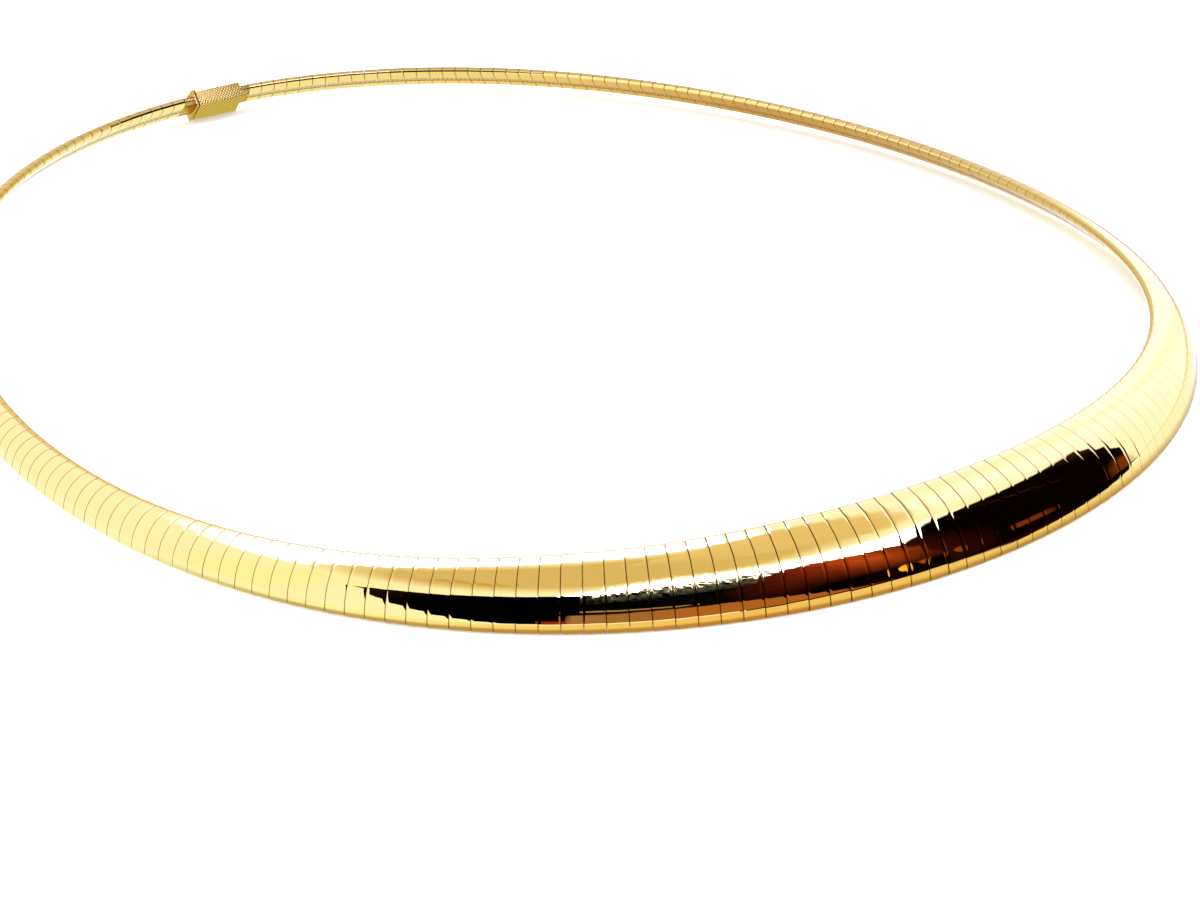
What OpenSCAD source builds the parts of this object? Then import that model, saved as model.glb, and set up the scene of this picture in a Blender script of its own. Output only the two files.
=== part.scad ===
// Omega collar: narrow domed gold plates folded round a woven core band, closed by a box clasp.
// Millimetres. The collar lies on the plane z = 0 with the middle of its front toward -Y.
// The band stands like the wall of a low cone: its outer edge is down and its inner edge is up.

/* [Collar] */
// Length along the middle of the band, clasp included
collar_length = 432; // [410:2:440]
// Depth of the lying oval over its width
oval_ratio = 1.25; // [1.15:0.01:1.3]
// How much wider the front half of the oval is than its back half
front_swell = 0.1; // [0:0.01:0.12]
// How full the oval's shoulders are
shoulder_swell = 0.03; // [0:0.005:0.05]
// Angle that the band's face looks up from the horizontal
face_tilt = 48.5; // [40:0.5:55]

/* [Plates] */
// Width of the plates at the middle of the front
front_width = 8.5; // [7:0.1:9.5]
// Width of the plates beside the clasp
back_width = 4; // [3.6:0.1:4.6]
// How soon the width falls away from the middle of the front
taper_power = 6.1; // [4:0.1:8]
// Length of one plate along the band, its gap included
plate_pitch = 1.8; // [1.76:0.02:2.4]
// Gap between two neighbouring plates
plate_gap = 0.12; // [0.1:0.01:0.16]
// Half of the angle that the dome of a plate spans
dome_half_angle = 38; // [32:1:44]
// Diameter of the rolled bead along both edges of a plate
bead_d = 1; // [0.9:0.05:1.1]
// How far the beads stand proud of the dome and of the flat back
bead_step = 0.06; // [0.04:0.01:0.08]
// Thickness of the plates' sheet
sheet_t = 0.24; // [0.2:0.01:0.28]
// How far the folded lips reach in under the core band
lip_reach = 1.1; // [0.8:0.05:1.3]

/* [Core band] */
// Thickness of the woven core band
core_t = 0.3; // [0.2:0.02:0.34]
// Space between the core band and whatever holds it
core_clearance = 0.1; // [0.08:0.01:0.12]

/* [Clasp] */
// Length of the clasp with both of its end caps
clasp_length = 9.6; // [9:0.1:11]
// How much wider the clasp's box is than the band, on each side
clasp_margin = 0.25; // [0.2:0.05:0.4]
// Height of the box above the middle of the core band
clasp_top = 1.3; // [1.2:0.05:1.6]
// Depth of the box below the middle of the core band
clasp_bottom = 1.15; // [1:0.05:1.3]
// How much higher the box's top is in the middle than along its edges
clasp_crown = 0.45; // [0.35:0.05:0.5]
// Thickness of the box's walls
clasp_wall = 0.35; // [0.3:0.01:0.4]
// Length of each soldered end cap
cap_length = 1.4; // [1.2:0.1:1.6]
// How far the core band's ends reach into the end caps' pockets
pocket_depth = 1; // [0.8:0.05:1.1]
// Thickness of the folded tongue
tongue_t = 0.3; // [0.26:0.01:0.34]
// Width of the thumb tab
tab_width = 1.5; // [1.2:0.1:1.8]
// Length of the thumb tab along the collar
tab_length = 0.6; // [0.5:0.05:0.8]
// Height of the thumb tab above the box
tab_rise = 0.5; // [0.4:0.05:0.7]

/* [Hidden] */
$fn = 96;
gold = [0.93, 0.79, 0.45];
gold_mesh = [0.82, 0.68, 0.36];
bead_r = bead_d / 2;
back_h = bead_r - bead_step;
// Clearance between the clasp's moving strip and its box
slack = 0.15;
// How far cutting shapes run past what they cut
overrun = 1;
// How far the joints' wedges reach to either side of the band's middle line
reach = front_width;

// The oval, for a turn of 0 at the front's middle to 180 at the clasp's, before it is scaled
function oval(t) = [
    sin(t) * (1 + front_swell * cos(t) + shoulder_swell * cos(2 * t)),
    -oval_ratio * cos(t)
];
oval_steps = 360;
function oval_turn(i) = 180 * i / oval_steps;
oval_run = [
    for (i = 0, run = 0; i <= oval_steps; run = run + norm(oval(oval_turn(i + 1)) - oval(oval_turn(i))), i = i + 1)
        [run, oval_turn(i)]
];
oval_scale = collar_length / 2 / oval_run[oval_steps][0];

// Joints between the plates, counted from the middle of the front
plate_run = collar_length / 2 - clasp_length / 2 - plate_gap / 2;
plates_a_side = floor(plate_run / plate_pitch);
pitch = plate_run / plates_a_side;

function along(s) = lookup(s / oval_scale, oval_run);
function spot(s) = oval_scale * oval(along(s));
nudge = 0.2;
function outward(s) =
    let (step = spot(s + nudge) - spot(s - nudge))
    s < nudge ? [0, -1] : [step[1], -step[0]] / norm(step);

// Half the distance between the beads' middles, at a run s from the middle of the front
function half_span(s) =
    let (near = pow((1 + cos(360 * s / collar_length)) / 2, taper_power))
    (back_width + (front_width - back_width) * near) / 2 - bead_r;

// The clasp rests on the same surface as the plates, so the band rises a little toward the back
clasp_half_w = back_width / 2 + clasp_margin;
clasp_foot = clasp_half_w * cos(face_tilt) + clasp_bottom * sin(face_tilt);
band_foot = half_span(collar_length / 2) * cos(face_tilt) + bead_r;
back_lift = clasp_foot - band_foot;
last_joint = spot(plate_run);
front_y = spot(0)[1];
function rise(s) =
    half_span(s) * cos(face_tilt) + bead_r
    + back_lift * (spot(s)[1] - front_y) / (last_joint[1] - front_y);

// The oval's place, so that the collar's box is centred on the origin
clasp_back_y = clasp_half_w * sin(face_tilt) + (clasp_top - clasp_crown) * cos(face_tilt);
front_edge_y = front_y - half_span(0) * sin(face_tilt) - bead_r;
back_edge_y = last_joint[1] + clasp_back_y;
centre_y = (front_edge_y + back_edge_y) / 2;

// A frame that lays x across the band to its upper edge, y out of its face, z along it
function band_frame(place, out) =
    let (
        across = [-out[0] * sin(face_tilt), -out[1] * sin(face_tilt), cos(face_tilt)],
        face = [out[0] * cos(face_tilt), out[1] * cos(face_tilt), sin(face_tilt)],
        run = cross(across, face)
    )
    [
        [across[0], face[0], run[0], place[0]],
        [across[1], face[1], run[1], place[1]],
        [across[2], face[2], run[2], place[2]],
        [0, 0, 0, 1]
    ];

function dome_r(c) = c / sin(dome_half_angle) + bead_r;
function dome_sink(c) = c / tan(dome_half_angle);

// Solid outline across a plate, with its beads' middles at x = -c and x = c
module plate_outline(c) {
    intersection() {
        translate([0, -dome_sink(c)])
            circle(r = dome_r(c) - bead_step);
        translate([-c, -back_h])
            square([2 * c, back_h + dome_r(c)]);
    }
    for (side = [-1, 1])
        translate([side * c, 0])
            circle(r = bead_r);
}

// The sheet of a plate: a dome, two beads and two lips folded under.
// On a narrow plate the lips stop at a share of the half width, so that the core still shows.
lip_limit = 0.7;
module plate_section(c) {
    window = c - min(lip_reach, lip_limit * c);
    difference() {
        plate_outline(c);
        intersection() {
            translate([0, -dome_sink(c)])
                circle(r = dome_r(c) - bead_step - sheet_t);
            translate([-c, sheet_t - back_h])
                square([2 * c, dome_r(c)]);
        }
        translate([-window, -bead_d])
            square([2 * window, bead_d]);
    }
}

// An upright wedge between the joints at a and b, each less half a gap
module joint_wedge(a, out_a, b, out_b) {
    run = (b - a) / norm(b - a);
    in_a = a + run * plate_gap / 2;
    in_b = b - run * plate_gap / 2;
    translate([0, 0, -reach])
        linear_extrude(height = 3 * reach)
            polygon([
                in_a + out_a * reach,
                in_a - out_a * reach,
                in_b - out_b * reach,
                in_b + out_b * reach
            ]);
}

// Plate number i, counted from the middle of the front toward +X
module plate(i) {
    a = spot(i * pitch);
    b = spot((i + 1) * pitch);
    mid = (a + b) / 2;
    run = (b - a) / norm(b - a);
    place = [mid[0], mid[1], rise((i + 0.5) * pitch)];
    intersection() {
        multmatrix(band_frame(place, [run[1], -run[0]]))
            linear_extrude(height = 2 * pitch, center = true)
                plate_section(half_span((i + 0.5) * pitch));
        joint_wedge(a, outward(i * pitch), b, outward((i + 1) * pitch));
    }
}

module plates_right() {
    color(gold)
        translate([0, -centre_y, 0])
            for (i = [0 : plates_a_side - 1])
                plate(i);
}

module plates_left() {
    mirror([1, 0, 0])
        plates_right();
}

// Corners of the core band where it crosses a joint, on the side that sign says
core_floor = sheet_t - back_h + core_clearance;
function core_ring(place, out, c, sign) =
    let (frame = band_frame(place, out))
    [
        for (corner = [[-1, 0], [1, 0], [1, 1], [-1, 1]])
            let (p = frame * [corner[0] * (c - core_clearance), core_floor + corner[1] * core_t, 0, 1])
            [sign * p[0], p[1], p[2]]
    ];
function joint_ring(i, sign) =
    let (s = i * pitch, p = spot(s))
    core_ring([p[0], p[1], rise(s)], outward(s), half_span(s), sign);

// The clasp is as long as the room between the last joints, less their gaps
clasp_half = last_joint[0] - plate_gap / 2;
clasp_c = half_span(plate_run);
clasp_rise = rise(plate_run);
body_end = clasp_half - cap_length;
pocket_end = clasp_half - pocket_depth;

// The core's ends run straight into the clasp's caps
function end_ring(sign) =
    core_ring([pocket_end + core_clearance, last_joint[1], clasp_rise], [0, 1], clasp_c, sign);
core_rings = [
    end_ring(-1),
    for (i = [plates_a_side : -1 : 1]) joint_ring(i, -1),
    for (i = [0 : plates_a_side]) joint_ring(i, 1),
    end_ring(1)
];

module core_band() {
    last = len(core_rings) - 1;
    color(gold_mesh)
        translate([0, -centre_y, 0])
            polyhedron(
                points = [for (ring = core_rings) each ring],
                faces = [
                    [0, 1, 2, 3],
                    for (k = [0 : last - 1], j = [0 : 3])
                        let (
                            a = 4 * k + j,
                            b = 4 * k + (j + 1) % 4
                        )
                        each [[a, a + 4, b], [b, a + 4, b + 4]],
                    [for (j = [3 : -1 : 0]) 4 * last + j]
                ]
            );
}

// The clasp's own frame: x along the collar to +X, y across to its lower edge, z out of its face
module clasp_place() {
    translate([0, last_joint[1] - centre_y, clasp_rise])
        rotate([face_tilt - 90, 0, 0])
            children();
}

// Extrudes an outline of (y, z) along x from one x to another
module along_x(from, to) {
    translate([from, 0, 0])
        rotate([90, 0, 90])
            linear_extrude(height = to - from)
                children();
}

// The box's outline, less an inset all round
crown_r = (pow(clasp_half_w, 2) + pow(clasp_crown, 2)) / (2 * clasp_crown);
module box_outline(inset) {
    intersection() {
        translate([inset - clasp_half_w, inset - clasp_bottom])
            square([2 * (clasp_half_w - inset), clasp_bottom + clasp_top]);
        translate([0, clasp_top - crown_r])
            circle(r = crown_r - inset);
    }
}

// Both end caps before they are parted, each with a pocket for the core band
module end_caps() {
    b = [-last_joint[0], last_joint[1]];
    out = outward(plate_run);
    intersection() {
        clasp_place()
            difference() {
                along_x(-clasp_half - overrun, clasp_half + overrun)
                    plate_outline(clasp_c);
                for (sign = [-1, 1])
                    translate([sign * (pocket_end + reach / 2), 0, core_floor + core_t / 2])
                        cube([reach, 2 * clasp_c, core_t + 2 * core_clearance], center = true);
            }
        translate([0, -centre_y, 0])
            joint_wedge(last_joint, out, b, [-out[0], out[1]]);
    }
}

// The cap on the side that sign says, sunk into the middle of the wall that it is soldered to
module cap_side(sign) {
    cap_start = body_end - clasp_wall / 2;
    intersection() {
        end_caps();
        clasp_place()
            translate([sign * (cap_start + reach / 2), 0, 0])
                cube([reach, 2 * reach, 2 * reach], center = true);
    }
}

// The box opens toward -X, where the thumb tab stands in a notch of its top
stop_x = clasp_wall - body_end;
mouth_x = stop_x + slack;
notch_length = tab_length + 2 * slack;

module clasp_box() {
    color(gold) {
        clasp_place()
            difference() {
                along_x(mouth_x, body_end)
                    box_outline(0);
                along_x(mouth_x - overrun, body_end - clasp_wall)
                    box_outline(clasp_wall);
                translate([mouth_x - overrun, -tab_width / 2 - slack, 0])
                    cube([notch_length + overrun, tab_width + 2 * slack, clasp_top + overrun]);
            }
        cap_side(1);
    }
}

tongue_low = slack + clasp_wall - clasp_bottom;
tongue_high = clasp_top - clasp_crown - clasp_wall - slack;
tongue_half_w = clasp_half_w - clasp_wall - slack;
nose_x = body_end - clasp_wall - slack;
tab_x = mouth_x + slack;

module clasp_tongue() {
    color(gold) {
        clasp_place() {
            along_x(-body_end, stop_x)
                box_outline(0);
            translate([0, tongue_half_w, 0])
                rotate([90, 0, 0])
                    linear_extrude(height = 2 * tongue_half_w)
                        polygon([
                            [stop_x - clasp_wall / 2, tongue_low],
                            [nose_x, tongue_low],
                            [nose_x, tongue_low + 2 * tongue_t],
                            [tab_x, tongue_high],
                            [tab_x, tongue_high - tongue_t],
                            [nose_x - 2 * tongue_t, tongue_low + tongue_t],
                            [stop_x - clasp_wall / 2, tongue_low + tongue_t]
                        ]);
            translate([tab_x, -tab_width / 2, tongue_high - tongue_t])
                cube([tab_length, tab_width, clasp_top + tab_rise - tongue_high + tongue_t]);
        }
        cap_side(-1);
    }
}

plates_right();
plates_left();
core_band();
clasp_box();
clasp_tongue();
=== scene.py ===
import math

import bmesh
import bpy
import numpy as np
from mathutils import Matrix, Vector


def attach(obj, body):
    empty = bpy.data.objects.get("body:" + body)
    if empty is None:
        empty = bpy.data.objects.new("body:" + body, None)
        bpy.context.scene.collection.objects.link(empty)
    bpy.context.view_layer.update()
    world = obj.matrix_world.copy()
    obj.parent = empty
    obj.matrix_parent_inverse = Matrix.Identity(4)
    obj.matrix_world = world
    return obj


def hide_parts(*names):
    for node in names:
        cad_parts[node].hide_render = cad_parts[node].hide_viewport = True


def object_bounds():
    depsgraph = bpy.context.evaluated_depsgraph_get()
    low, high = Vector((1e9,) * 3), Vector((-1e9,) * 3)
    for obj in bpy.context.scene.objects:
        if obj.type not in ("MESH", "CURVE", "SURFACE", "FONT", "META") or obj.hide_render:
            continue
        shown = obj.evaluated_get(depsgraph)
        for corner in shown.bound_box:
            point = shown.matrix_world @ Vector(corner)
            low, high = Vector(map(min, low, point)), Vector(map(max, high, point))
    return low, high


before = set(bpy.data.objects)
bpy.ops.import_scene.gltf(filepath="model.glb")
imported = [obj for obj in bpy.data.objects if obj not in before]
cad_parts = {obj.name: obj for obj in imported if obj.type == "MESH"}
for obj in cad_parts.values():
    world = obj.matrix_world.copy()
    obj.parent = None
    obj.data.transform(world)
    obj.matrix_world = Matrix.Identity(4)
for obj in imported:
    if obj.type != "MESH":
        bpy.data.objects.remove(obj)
cadLow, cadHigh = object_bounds()
scene = bpy.context.scene
mm = 0.001
print("frame loaded:", ", ".join(sorted(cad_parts)))


# Sizes are millimetres until a mesh is made, where they are turned into metres.
collar = {
    "length": 432.0,                 # along the middle of the band, clasp included
    "ovalRatio": 1.25,               # depth of the oval over its width
    "frontSwell": 0.1,               # the front half is wider than the back half
    "shoulderSwell": 0.03,           # fullness of the shoulders
    "tilt": math.radians(48.5),      # how far the face looks up
    "frontWidth": 8.5,
    "backWidth": 4.0,
    "taper": 6.1,
    "claspLength": 9.6,
    "backLift": 0.858,               # the clasp stands on the table and lifts the band's back
    "samples": 2881,                 # points at which the run along half the oval is measured
}
plates = {
    "aSide": 117,                    # plates on each side of the front's middle
    "gap": 0.055,                    # clear space at each joint
    "domeAngle": math.radians(38),   # half of the angle that the dome spans
    "foldRadius": 0.5,               # radius of the rolled edges
    "sheet": 0.24,
    "lipReach": 1.1,
    "lipShare": 0.7,                 # a lip never takes more than this share of the half width
    "domeSteps": 6,
    "foldAngles": (-180, -142, -104, -69),  # where the rolled edges are divided, up to the dome
    "innerSteps": 1,                 # divisions of the dome's inside
    "endRun": 0.3,                   # the plates' ends turn down over this length
    "endTurn": math.radians(2.6),    # and by this much
    "bendShare": 0.5,                # how much of the route's bend each plate follows by itself
    "wobble": (0.0028, 0.0028, 0.0009),  # unevenness of roll, nod and sway, in radians
    "seed": 11,
}


# The oval for a turn of 0 at the front's middle to pi at the clasp:
# x = sin(turn) * (1 + frontSwell cos(turn) + shoulderSwell cos(2 turn)), y = -ovalRatio cos(turn).
def ovalPoint(turn):
    swell = 1 + collar["frontSwell"] * np.cos(turn) + collar["shoulderSwell"] * np.cos(2 * turn)
    return np.stack([np.sin(turn) * swell, -collar["ovalRatio"] * np.cos(turn)], -1)


ovalTurns = np.linspace(0, math.pi, collar["samples"])
ovalSteps = np.linalg.norm(np.diff(ovalPoint(ovalTurns), axis=0), axis=1)
ovalRun = np.concatenate([[0], np.cumsum(ovalSteps)])
ovalScale = collar["length"] / 2 / ovalRun[-1]


# The route's point at a run s from the front's middle, found by looking the turn up in the run's table.
# A negative s is the mirrored left half.
def routePoint(s):
    turn = np.interp(np.abs(s) / ovalScale, ovalRun, ovalTurns)
    point = ovalScale * ovalPoint(turn)
    point[..., 0] *= np.where(s < 0, -1, 1)
    return point


# Outward unit vector of the route in plan: the run's direction turned a quarter to the right.
def routeOutward(s, nudge=0.2):
    step = routePoint(s + nudge) - routePoint(s - nudge)
    step /= np.linalg.norm(step, axis=-1, keepdims=True)
    return np.stack([step[..., 1], -step[..., 0]], -1)


# Half the distance between the rolled edges' middles: a raised cosine of the run, to the power taper.
def halfSpan(s):
    near = ((1 + np.cos(2 * math.pi * np.asarray(s) / collar["length"])) / 2) ** collar["taper"]
    width = collar["backWidth"] + (collar["frontWidth"] - collar["backWidth"]) * near
    return width / 2 - plates["foldRadius"]


plateRun = collar["length"] / 2 - collar["claspLength"] / 2 - plates["gap"] / 2
pitch = plateRun / plates["aSide"]
sinTilt, cosTilt = math.sin(collar["tilt"]), math.cos(collar["tilt"])
frontY = float(routePoint(np.array(0.0))[1])
backY = float(routePoint(np.array(plateRun))[1])
shiftY = cadLow.y / mm - (frontY - float(halfSpan(0)) * sinTilt - plates["foldRadius"])


# Height of the band's middle: its lower edge touches the table, and the lift grows with y up to backLift.
def bandRise(s):
    y = routePoint(s)[..., 1]
    lift = collar["backLift"] * (y - frontY) / (backY - frontY)
    return halfSpan(s) * cosTilt + plates["foldRadius"] + lift


# Axes of the band at an outward vector: across to the upper edge, out of the face, and along the run.
def bandAxes(out):
    zero = np.zeros(out.shape[:-1] + (1,))
    across = np.concatenate([-out * sinTilt, zero + cosTilt], -1)
    face = np.concatenate([out * cosTilt, zero + sinTilt], -1)
    return across, face, np.cross(across, face)


# A new object of a mesh or a camera, linked to the scene.
def addObject(name, data):
    made = bpy.data.objects.new(name, data)
    scene.collection.objects.link(made)
    return made


# An attribute with one number for each point of a mesh, for its material to read.
def addValues(mesh, name, values):
    layer = mesh.attributes.new(name, "FLOAT", "POINT")
    layer.data.foreach_set("value", values.astype(np.float32).ravel())


# For each corner of a mesh's faces, the number of its point.
def cornerPoints(mesh):
    numbers = np.zeros(len(mesh.loops), int)
    mesh.loops.foreach_get("vertex_index", numbers)
    return numbers


# A closed mesh piece from rows of points and lists of faces, riding on the whole collar.
def addPiece(name, points, faces, material):
    mesh = bpy.data.meshes.new(name)
    mesh.from_pydata(np.asarray(points).reshape(-1, 3) * mm, [], faces)
    mesh.materials.append(material)
    piece = addObject(name, mesh)
    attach(piece, "root")
    return piece


# Section of a plate for each half span c, as points that go from the lower lip over the dome to the upper
# lip and back inside, and normals for the outer ones. Rolled edges: circles round (-c, 0) and (c, 0).
# Dome: arc of radius c / sin(domeAngle) + foldRadius, which touches both. Inside: the dome less the sheet,
# and the lips' upper faces.
def plateSection(c):
    r, sheet, dome = plates["foldRadius"], plates["sheet"], plates["domeAngle"]
    radius = c / math.sin(dome) + r
    sink = c / math.tan(dome)
    window = c - np.minimum(plates["lipReach"], plates["lipShare"] * c)
    down = np.full_like(c, -r)
    fold = np.append(np.radians(plates["foldAngles"]), -dome)
    arc = np.linspace(-dome, dome, plates["domeSteps"] + 1)[1:-1]
    points = [(-window, down)]
    points += [(-c + r * math.sin(a), 0 * c + r * math.cos(a)) for a in fold]
    points += [(radius * math.sin(a), radius * math.cos(a) - sink) for a in arc]
    points += [(c - r * math.sin(a), 0 * c + r * math.cos(a)) for a in fold[::-1]]
    points += [(window, down)]
    angles = [-math.pi, *fold, *arc, *-fold[::-1], math.pi]
    inner = radius - sheet
    innerTurn = np.arcsin(c / inner)
    points += [(window, down + sheet)]
    points += [
        (inner * np.sin(innerTurn * share), inner * np.cos(innerTurn * share) - sink)
        for share in np.linspace(1, -1, plates["innerSteps"] + 1)
    ]
    points += [(-window, down + sheet)]
    section = np.stack([np.stack(p, -1) for p in points], 1)
    return section, np.array([[math.sin(a), math.cos(a)] for a in angles])


# All plates between two joints, as four rings each. Rings 1 and 2 bound the straight middle. Rings 0 and 3
# are the ends, on the joints' upright planes, and are sunk by endRun * tan(endTurn) / 2.
def makePlates(name, firstJoint, lastJoint, material, random):
    joints = np.arange(firstJoint, lastJoint + 1) * pitch
    spots, outs = routePoint(joints), routeOutward(joints)
    a, b = spots[:-1], spots[1:]
    run = (b - a) / np.linalg.norm(b - a, axis=1, keepdims=True)
    out = np.stack([run[:, 1], -run[:, 0]], -1)
    middle = (joints[:-1] + joints[1:]) / 2
    across, face, along = bandAxes(out)
    centre = np.concatenate([(a + b) / 2, bandRise(middle)[:, None]], 1)
    section, normals = plateSection(halfSpan(middle))
    count, corners, outer = len(middle), section.shape[1], len(normals)

    sunk = section.copy()
    sunk[:, :outer] -= normals * plates["endRun"] * math.tan(plates["endTurn"]) / 2
    rings = np.stack([sunk, section, section, sunk], 1)
    roll, nod, sway = random.normal(0, 1, (3, count, 1, 1)) * np.reshape(plates["wobble"], (3, 1, 1, 1))
    x = rings[..., 0] * np.cos(roll) + rings[..., 1] * np.sin(roll)
    y = rings[..., 1] * np.cos(roll) - rings[..., 0] * np.sin(roll)

    # where each joint's upright plane cuts the plate: it leans by rho, the distance out from the middle
    rho = y * cosTilt - x * sinTilt
    half = np.linalg.norm(b - a, axis=1)[:, None] / 2 - plates["gap"] / 2
    leanA = ((outs[:-1] * run).sum(1) / (outs[:-1] * out).sum(1))[:, None]
    leanB = ((outs[1:] * run).sum(1) / (outs[1:] * out).sum(1))[:, None]
    z = np.stack([
        -half + leanA * rho[:, 0],
        -half + leanA * rho[:, 1] + plates["endRun"],
        half + leanB * rho[:, 2] - plates["endRun"],
        half + leanB * rho[:, 3],
    ], 1)
    y = y + z * np.tan(nod)
    x = x + z * np.tan(sway)
    points = (
        centre[:, None, None]
        + x[..., None] * across[:, None, None]
        + y[..., None] * face[:, None, None]
        + z[..., None] * along[:, None, None]
    )
    points[..., 1] += shiftY

    m = np.arange(corners)
    n = (m + 1) % corners
    base = (np.arange(count) * 4 * corners)[:, None, None]
    ring = (np.arange(3) * corners)[None, :, None]
    quads = base[..., None] + ring[..., None] + np.stack([m, m + corners, n + corners, n], -1)
    capA = base[:, 0] + m
    capB = base[:, 0] + 3 * corners + m[::-1]
    piece = addPiece(
        name, points, quads.reshape(-1, 4).tolist() + capA.tolist() + capB.tolist(), material
    )

    # Shading normals: exact on the outside, leaning outwards at the ends, and flat on all other faces.
    # Along the plate they also turn about the upright axis, by bendShare of the turn between its joints.
    turn = plates["endTurn"]
    lean = np.array([-1, 0, 0, 1]) * math.sin(turn)
    keep = np.array([math.cos(turn), 1, 1, math.cos(turn)])
    nx = normals[:, 0] * np.cos(roll[..., 0]) + normals[:, 1] * np.sin(roll[..., 0])
    ny = normals[:, 1] * np.cos(roll[..., 0]) - normals[:, 0] * np.sin(roll[..., 0])
    flatNormal = nx[..., None] * across[:, None] + ny[..., None] * face[:, None]
    flatNormal = flatNormal - ny[..., None] * np.tan(nod) * along[:, None]
    outerNormal = (
        flatNormal[:, None] * keep[None, :, None, None]
        + (along[:, None, None] * lean[None, :, None, None])
    )
    turned = outs[:-1, 0] * outs[1:, 1] - outs[:-1, 1] * outs[1:, 0]
    # where the four rings stand along the plate, from -0.5 to 0.5
    share = np.array([-0.5, -0.5, 0.5, 0.5]) * (1 - np.array([0, 2, 2, 0]) * plates["endRun"] / pitch)
    bend = (plates["bendShare"] * np.arcsin(turned)[:, None] * share)[..., None]
    outerNormal = np.stack([
        outerNormal[..., 0] * np.cos(bend) - outerNormal[..., 1] * np.sin(bend),
        outerNormal[..., 0] * np.sin(bend) + outerNormal[..., 1] * np.cos(bend),
        outerNormal[..., 2],
    ], -1)
    vertexNormal = np.zeros(points.shape)
    vertexNormal[:, :, :outer] = outerNormal
    vertexNormal = vertexNormal.reshape(-1, 3)
    mesh = piece.data
    mesh.shade_smooth()
    faceNormal = np.zeros(len(mesh.polygons) * 3)
    mesh.polygons.foreach_get("normal", faceNormal)
    sizes = np.zeros(len(mesh.polygons), int)
    mesh.polygons.foreach_get("loop_total", sizes)
    isOuter = np.zeros((count, 3, corners), bool)
    isOuter[:, :, : outer - 1] = True
    isOuter = np.concatenate([isOuter.ravel(), np.zeros(2 * count, bool)])
    loopNormal = np.where(
        np.repeat(isOuter, sizes)[:, None],
        vertexNormal[cornerPoints(mesh)],
        np.repeat(faceNormal.reshape(-1, 3), sizes, axis=0),
    )
    loopNormal /= np.linalg.norm(loopNormal, axis=1, keepdims=True)
    mesh.normals_split_custom_set(loopNormal)
    toEnd = np.zeros((count, 4, corners))
    toEnd[:, [0, 3]] = 1
    addValues(mesh, "toEnd", toEnd)
    return piece


# Node helper: a new node of a kind, with some of its inputs linked or set. Inputs go by name, or by number
# where a node has several of one name: a colour Mix takes 6 and 7 and gives 2.
def addNode(tree, kind, inputs=None, **settings):
    node = tree.nodes.new(kind)
    for key, value in settings.items():
        setattr(node, key, value)
    for key, value in (inputs or {}).items():
        if isinstance(value, bpy.types.NodeSocket):
            tree.links.new(value, node.inputs[key])
        else:
            node.inputs[key].default_value = value
    return node


# A new material, its tree and its Principled node.
def newMaterial(name):
    material = bpy.data.materials.new(name)
    material.use_nodes = True
    tree = material.node_tree
    shader = tree.nodes["Principled BSDF"]
    return material, tree, shader


# Polished yellow gold: a faint haze in the roughness, a very shallow ripple in the surface, and painted
# shade at the joints, where the gold darkens by the attribute toEnd to a high power. The clasp is a
# duller gold with an engraved lattice and painted shade in its hollows. Bump heights are in metres.
polish = {
    "colour": (0.95, 0.62, 0.15, 1),
    "edgeColour": (1, 0.88, 0.62, 1),
    # painted shade in the joints between plates
    "seamShadeColour": (0.42, 0.2, 0.03, 1),
    "seamShadeSharpness": 12.0,
    "roughnessLow": 0.003,
    "roughnessHigh": 0.03,
    "hazeScale": 900.0,
    "hazeDetail": 4.0,
    "hazeRange": (0.4, 0.75),        # the noise values that give the lowest and the highest roughness
    "rippleScale": 420.0,
    "rippleDetail": 2.0,
    "rippleHeight": 0.000006,
}
engraving = {
    "colour": (0.93, 0.57, 0.11, 1),
    # painted shade in the engraved lines
    "hollowShadeColour": (0.42, 0.22, 0.035, 1),
    "edgeColour": (1, 0.78, 0.4, 1),
    "roughness": 0.24,
    "pitch": 0.28,                   # of the lattice's lines
    "depth": 0.000022,
}
waveSpacing = math.pi / 10           # distance of a wave texture's bands at scale 1


def polishedGold(name):
    material, tree, shader = newMaterial(name)
    shader.inputs["Specular Tint"].default_value = polish["edgeColour"]
    shader.inputs["Metallic"].default_value = 1
    toEnd = addNode(tree, "ShaderNodeAttribute", attribute_name="toEnd")
    # painted shade at the joints: the gold darkens toward each plate's ends by toEnd to a high power
    seam = addNode(tree, "ShaderNodeMath", {
        0: toEnd.outputs["Fac"], 1: polish["seamShadeSharpness"],
    }, operation="POWER")
    tone = addNode(tree, "ShaderNodeMix", {
        "Factor": seam.outputs[0], 6: polish["colour"], 7: polish["seamShadeColour"],
    }, data_type="RGBA")
    tree.links.new(tone.outputs[2], shader.inputs["Base Color"])
    place = addNode(tree, "ShaderNodeTexCoord")
    haze = addNode(tree, "ShaderNodeTexNoise", {
        "Vector": place.outputs["Object"],
        "Scale": polish["hazeScale"], "Detail": polish["hazeDetail"],
    })
    hazeLow, hazeHigh = polish["hazeRange"]
    rough = addNode(tree, "ShaderNodeMapRange", {
        "Value": haze.outputs["Fac"], "From Min": hazeLow, "From Max": hazeHigh,
        "To Min": polish["roughnessLow"], "To Max": polish["roughnessHigh"],
    })
    tree.links.new(rough.outputs["Result"], shader.inputs["Roughness"])
    ripple = addNode(tree, "ShaderNodeTexNoise", {
        "Vector": place.outputs["Object"],
        "Scale": polish["rippleScale"], "Detail": polish["rippleDetail"],
    })
    bump = addNode(tree, "ShaderNodeBump", {
        "Height": ripple.outputs["Fac"], "Distance": polish["rippleHeight"],
    })
    tree.links.new(bump.outputs["Normal"], shader.inputs["Normal"])
    return material


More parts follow.
